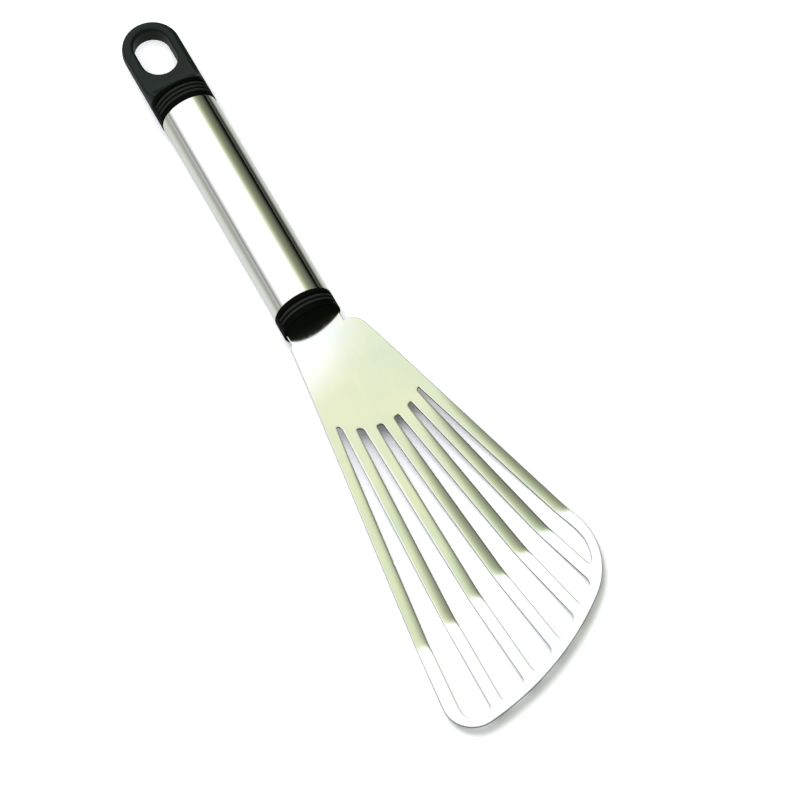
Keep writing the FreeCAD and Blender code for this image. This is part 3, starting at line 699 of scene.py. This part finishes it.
def ferruleField(x, y, z):
    collar = roundedDisc(x, y, z, ferrule["back"], 0, collarRadius, ferrule["edge"])
    pocket = ribPocket(x, y, z, ferrule["back"] / 2, ferrule["grooves"])
    collar = roundedMax(collar, -pocket, ribs["pocketEdge"])
    plug = roundedDisc(x, y, z, ferrule["plugBack"], -insert["overlap"], insert["radius"], insert["edge"])
    return np.minimum(collar, plug)


def capField(x, y, z):
    front, plate, back = cap["front"], cap["plate"] / 2, capBack
    ball = back + collarRadius
    bar = np.sqrt(np.minimum(x - ball, 0) ** 2 + y ** 2 + z ** 2) - collarRadius
    body = roundedMax(bar, x - front, cap["edge"])
    # flats above and below, swept up to the collar by a cove
    sweep = collarRadius - plate
    foot = front - cap["collar"] - sweep
    cove = sweep - np.hypot(x - foot, np.abs(z) - collarRadius)
    flat = np.where(x < foot, np.abs(z) - plate, cove)
    share = np.clip((x - foot) / sweep, 0, 1)
    body = roundedMax(body, flat, cap["rimRound"] + (cap["crestRound"] - cap["rimRound"]) * share)
    far = back + cap["holeWall"] + cap["holeWidth"] / 2
    near = far + cap["holeLength"] - cap["holeWidth"]
    hole = np.hypot(x - np.clip(x, far, near), y) - cap["holeWidth"] / 2
    body = roundedMax(body, -hole, cap["holeRound"])
    pocket = ribPocket(x, y, z, front - cap["collar"] / 2, cap["grooves"])
    body = roundedMax(body, -pocket, ribs["pocketEdge"])
    spigot = roundedDisc(x, y, z, front - insert["overlap"], cap["spigotFront"], insert["radius"], insert["edge"])
    return np.minimum(body, spigot)


def skinRoom(back, front, spare=1):
    room = collarRadius + spare
    return (back - spare, -room, -room), (front + spare, room, room)


ferruleBody = skinField("ferruleBody", ferruleField, *skinRoom(ferrule["plugBack"], 0), ferrule["step"])
capBody = skinField("capBody", capField, *skinRoom(capBack, cap["spigotFront"]), cap["step"])
keepPiece(ferruleBody, collarPlastic, "black_plastic", "front_ferrule")
keepPiece(capBody, capPlastic, "black_plastic", "end_cap")
print("mouldings made", len(ferruleBody.data.polygons), len(capBody.data.polygons))


# ribs: one bar bent round the collar, repeated along it and again below
def makeRibTree():
    tree = newGroup("collarRibs", "GeometryNodeTree",
                    [("Radius", "NodeSocketFloat", 0.012), ("Arc", "NodeSocketFloat", 2.0),
                     ("Pitch", "NodeSocketFloat", 0.0018), ("Count", "NodeSocketInt", 2),
                     ("Width", "NodeSocketFloat", 0.001), ("Height", "NodeSocketFloat", 0.0005),
                     ("Edge", "NodeSocketFloat", 0.0001), ("Middle", "NodeSocketVector", None),
                     ("Material", "NodeSocketMaterial", None)],
                    [("Geometry", "NodeSocketGeometry")])
    given = addNode(tree, "NodeGroupInput", -1200, 0)
    arc = addNode(tree, "GeometryNodeCurveArc", -800, 200)
    arc.inputs["Resolution"].default_value = 96
    link(tree, given.outputs["Radius"], arc.inputs["Radius"])
    link(tree, given.outputs["Arc"], arc.inputs["Sweep Angle"])
    link(tree, mathNode(tree, "MULTIPLY", given.outputs["Arc"], -0.5, -1000, 250), arc.inputs["Start Angle"])
    section = addNode(tree, "GeometryNodeCurvePrimitiveQuadrilateral", -1000, -100)
    link(tree, given.outputs["Height"], section.inputs["Width"])
    link(tree, given.outputs["Width"], section.inputs["Height"])
    soft = addNode(tree, "GeometryNodeFilletCurve", -800, -100, mode="POLY")
    soft.inputs["Limit Radius"].default_value = True
    soft.inputs["Count"].default_value = 4
    link(tree, section.outputs[0], soft.inputs["Curve"])
    link(tree, given.outputs["Edge"], soft.inputs["Radius"])
    bar = addNode(tree, "GeometryNodeCurveToMesh", -600, 100)
    bar.inputs["Fill Caps"].default_value = True
    link(tree, arc.outputs["Curve"], bar.inputs["Curve"])
    link(tree, soft.outputs["Curve"], bar.inputs["Profile Curve"])
    row = addNode(tree, "GeometryNodeMeshLine", -600, -200)
    spacing = addNode(tree, "ShaderNodeCombineXYZ", -800, -350)
    link(tree, given.outputs["Pitch"], spacing.inputs[2])
    link(tree, given.outputs["Count"], row.inputs["Count"])
    link(tree, spacing.outputs[0], row.inputs["Offset"])
    reach = mathNode(tree, "MULTIPLY", mathNode(tree, "SUBTRACT", given.outputs["Count"], 1, -1000, -500),
                     given.outputs["Pitch"], -850, -500)
    begin = addNode(tree, "ShaderNodeCombineXYZ", -650, -500)
    link(tree, mathNode(tree, "MULTIPLY", reach, -0.5, -700, -600), begin.inputs[2])
    link(tree, begin.outputs[0], row.inputs["Start Location"])
    repeat = addNode(tree, "GeometryNodeInstanceOnPoints", -400, 0)
    link(tree, row.outputs[0], repeat.inputs["Points"])
    link(tree, bar.outputs[0], repeat.inputs["Instance"])
    below = addNode(tree, "GeometryNodeTransform", -200, -150)
    below.inputs["Rotation"].default_value = (0, 0, math.pi)
    link(tree, repeat.outputs[0], below.inputs["Geometry"])
    both = addNode(tree, "GeometryNodeJoinGeometry", 0, 0)
    link(tree, repeat.outputs[0], both.inputs[0])
    link(tree, below.outputs[0], both.inputs[0])
    laid = addNode(tree, "GeometryNodeTransform", 200, 0)
    laid.inputs["Rotation"].default_value = (0, math.pi / 2, 0)
    link(tree, both.outputs[0], laid.inputs["Geometry"])
    link(tree, given.outputs["Middle"], laid.inputs["Translation"])
    real = addNode(tree, "GeometryNodeRealizeInstances", 400, 0)
    link(tree, laid.outputs[0], real.inputs[0])
    smooth = addNode(tree, "GeometryNodeSetShadeSmooth", 550, 0)
    link(tree, real.outputs[0], smooth.inputs[0])
    paint = addNode(tree, "GeometryNodeSetMaterial", 700, 0)
    link(tree, smooth.outputs[0], paint.inputs["Geometry"])
    link(tree, given.outputs["Material"], paint.inputs["Material"])
    result = addNode(tree, "NodeGroupOutput", 900, 0)
    link(tree, paint.outputs[0], result.inputs[0])
    return tree


ribTree = makeRibTree()


def makeRibs(name, middle, grooves):
    obj = bpy.data.objects.new(name, bpy.data.meshes.new(name + "Base"))
    bpy.context.scene.collection.objects.link(obj)
    modifier = obj.modifiers.new("ribs", "NODES")
    modifier.node_group = ribTree
    height = ribs["depth"] + ribs["sunk"]    # a rib runs a little way into the collar, below and at its ends
    sizes = {"Radius": (collarRadius - height / 2) * mm, "Arc": math.radians(ribs["arc"]) * ribs["past"],
             "Pitch": ribs["pitch"] * mm, "Count": grooves - 1, "Width": (ribs["pitch"] - ribs["groove"]) * mm,
             "Height": height * mm, "Edge": ribs["edge"] * mm,
             "Middle": origin + Vector((middle * mm, 0, 0)), "Material": ribHighlightPlastic}
    for item in ribTree.interface.items_tree:
        if item.in_out == "INPUT":
            modifier[item.identifier] = sizes[item.name]
    evaluated = obj.evaluated_get(bpy.context.evaluated_depsgraph_get())
    mesh = bpy.data.meshes.new_from_object(evaluated)
    mesh.name = name
    obj.modifiers.remove(modifier)
    obj.data = mesh
    return obj


ferruleRibs = makeRibs("ferruleRibs", ferrule["back"] / 2, ferrule["grooves"])
capRibs = makeRibs("capRibs", cap["front"] - cap["collar"] / 2, cap["grooves"])
keepPiece(ferruleRibs, ribHighlightPlastic, "black_plastic")
keepPiece(capRibs, ribHighlightPlastic, "black_plastic")
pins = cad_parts["tang_pins"]
pins.data.materials.clear()
pins.data.materials.append(pinSteel)
print("ribs made", len(ferruleRibs.data.polygons), len(capRibs.data.polygons))

# floor: white to the camera; what the metal mirrors of it is painted darker, a painted shade that deepens to both
# sides of the handle
stand = {
    "size": 6.0, "colour": (0.32, 0.32, 0.35), "seen": (1.32, 1.32, 1.43), "mirrored": (0.60, 0.62, 0.61),
    "near": 0.02, "leftFar": 0.07, "leftTone": (0.22, 0.24, 0.2),
    "rightFar": 0.09, "rightTone": (0.012, 0.012, 0.012), "sheenRough": 0.3, "sheenIor": 1.45,
}


def makeFloorPaint(look):
    material = bpy.data.materials.new("paleFloor")
    material.use_nodes = True
    tree = material.node_tree
    tree.nodes.clear()
    rays = addNode(tree, "ShaderNodeLightPath", -1000, 200)
    direct = mathNode(tree, "MAXIMUM", rays.outputs["Is Camera Ray"], rays.outputs["Is Transmission Ray"],
                      -800, 200)
    first = mathNode(tree, "LESS_THAN", rays.outputs["Diffuse Depth"], 0.5, -800, 0)
    shine = mathNode(tree, "MULTIPLY", rays.outputs["Is Glossy Ray"], first, -650, 0)
    place = addNode(tree, "ShaderNodeTexCoord", -1200, -200)
    parts = addNode(tree, "ShaderNodeSeparateXYZ", -1000, -200)
    link(tree, place.outputs["Object"], parts.inputs[0])
    aside = mathNode(tree, "SUBTRACT", parts.outputs[1], origin.y, -800, -200)
    left = rangeNode(tree, aside, -look["near"], -look["leftFar"], 0, 1, -650, -200)
    right = rangeNode(tree, aside, look["near"], look["rightFar"], 0, 1, -650, -400)
    # the darker tones to the left and right are painted shade, seen only in reflections
    mirrored = mixColour(tree, left, look["mirrored"], look["leftTone"], -450, -200)
    mirrored = mixColour(tree, right, mirrored, look["rightTone"], -450, -400)
    tone = mixColour(tree, shine, look["colour"], mirrored, -450, 0)
    matte = addNode(tree, "ShaderNodeBsdfDiffuse", -200, 100)
    link(tree, mixColour(tree, direct, tone, look["seen"], -400, 150), matte.inputs["Color"])
    sheen = addNode(tree, "ShaderNodeBsdfGlossy", -200, -100)
    sheen.inputs["Roughness"].default_value = look["sheenRough"]
    grazing = addNode(tree, "ShaderNodeFresnel", -200, 300)
    grazing.inputs["IOR"].default_value = look["sheenIor"]
    blend = addNode(tree, "ShaderNodeMixShader", 0, 100)
    for source, socket in zip((grazing, matte, sheen), blend.inputs):
        link(tree, source.outputs[0], socket)
    result = addNode(tree, "ShaderNodeOutputMaterial", 200, 100)
    link(tree, blend.outputs[0], result.inputs[0])
    return material


half = stand["size"] / 2
floorCorners = [(x * half, y * half, cadLow[2]) for x, y in ((-1, -1), (1, -1), (1, 1), (-1, 1))]
floorMesh = bpy.data.meshes.new("floor")
floorMesh.from_pydata(floorCorners, [], [(0, 1, 2, 3)])
floorMesh.materials.append(makeFloorPaint(stand))
floor = bpy.data.objects.new("floor", floorMesh)
bpy.context.scene.collection.objects.link(floor)

# light: white behind the handle and to the left, and an olive room overhead that dims to the front and the right
studio = {
    "white": (1.28, 1.28, 1.3), "room": (0.87, 0.94, 0.63), "dark": (0.004, 0.004, 0.004), "strength": 1.0,
    # the span of each side along its axis of the sky, and the level it starts from or falls to
    "behind": (-0.4, -0.13), "rightEnd": (0.3, 0.52), "front": (0, 0.4), "frontLevel": 0.3,
    "leftSide": (-0.2, 0.24), "leftLevel": 0.7, "above": (0, 0.4), "lowLevel": 0.22,
    "rising": (0.14, 0.75), "away": (0.35, 0.7), "awayLevel": 0.4,
    "lampAt": (-0.03, -0.08, 0.36), "lampPower": 0.8, "lampSize": 0.25,
}


def makeStudio(light):
    world = bpy.data.worlds.new("studio")
    bpy.context.scene.world = world
    world.use_nodes = True
    tree = world.node_tree
    tree.nodes.clear()
    place = addNode(tree, "ShaderNodeTexCoord", -1200, 0)
    parts = addNode(tree, "ShaderNodeSeparateXYZ", -1000, 0)
    link(tree, place.outputs["Generated"], parts.inputs[0])
    x, y, z = parts.outputs
    behind = rangeNode(tree, x, *light["behind"], 1, 0, -900, 400)
    rightEnd = rangeNode(tree, y, *light["rightEnd"], 1, 0, -900, 200)
    front = rangeNode(tree, x, *light["front"], 1, light["frontLevel"], -900, 100)
    leftSide = rangeNode(tree, y, *light["leftSide"], light["leftLevel"], 0, -900, 0)
    leftSide = mathNode(tree, "MULTIPLY", leftSide, front, -700, 0)
    above = rangeNode(tree, z, *light["above"], light["lowLevel"], 1, -900, -200)
    backSide = mathNode(tree, "MULTIPLY", behind, rightEnd, -700, 350)
    sides = mathNode(tree, "MAXIMUM", backSide, leftSide, -550, 300)
    white = mathNode(tree, "MULTIPLY", sides, above, -400, 250)
    rising = rangeNode(tree, z, *light["rising"], 0, 1, -900, -400, smooth=False)
    away = rangeNode(tree, y, *light["away"], 1, light["awayLevel"], -900, -600)
    overhead = mathNode(tree, "MULTIPLY", rising, away, -700, -450)
    level = mathNode(tree, "MULTIPLY", overhead, front, -550, -450)
    room = mixColour(tree, level, light["dark"], light["room"], -450, -200)
    sky = mixColour(tree, white, room, light["white"], -250, 0)
    back = addNode(tree, "ShaderNodeBackground", 200, 0)
    back.inputs["Strength"].default_value = light["strength"]
    link(tree, sky, back.inputs["Color"])
    result = addNode(tree, "ShaderNodeOutputWorld", 400, 0)
    link(tree, back.outputs[0], result.inputs[0])


makeStudio(studio)
lamp = bpy.data.lights.new("softLamp", "AREA")
lamp.shape = "DISK"
lamp.size = studio["lampSize"]
lamp.energy = studio["lampPower"]
lampObject = bpy.data.objects.new("softLamp", lamp)
lampObject.location = studio["lampAt"]
lampObject.visible_glossy = False    # it gives the soft shadows, and the metal mirrors only the room
bpy.context.scene.collection.objects.link(lampObject)

# camera, fitted to the photograph
lens = {"azimuth": 61.802, "elevation": 64.335, "distance": 1.0, "lens": 117.73, "sensor": 36,
        "target": (0.036172, 0.001739, 0.0123)}
turn, tilt = math.radians(lens["azimuth"]), math.radians(lens["elevation"])
back = Vector((math.sin(turn) * math.cos(tilt), -math.cos(turn) * math.cos(tilt), math.sin(tilt)))
cameraData = bpy.data.cameras.new("camera")
cameraData.lens = lens["lens"]
cameraData.sensor_width = lens["sensor"]
camera = bpy.data.objects.new("camera", cameraData)
camera.location = Vector(lens["target"]) + back * lens["distance"]
camera.rotation_euler = (-back).to_track_quat("-Z", "Y").to_euler()
bpy.context.scene.collection.objects.link(camera)
bpy.context.scene.camera = camera
bpy.context.scene.view_settings.view_transform = "Standard"
print("stage set")
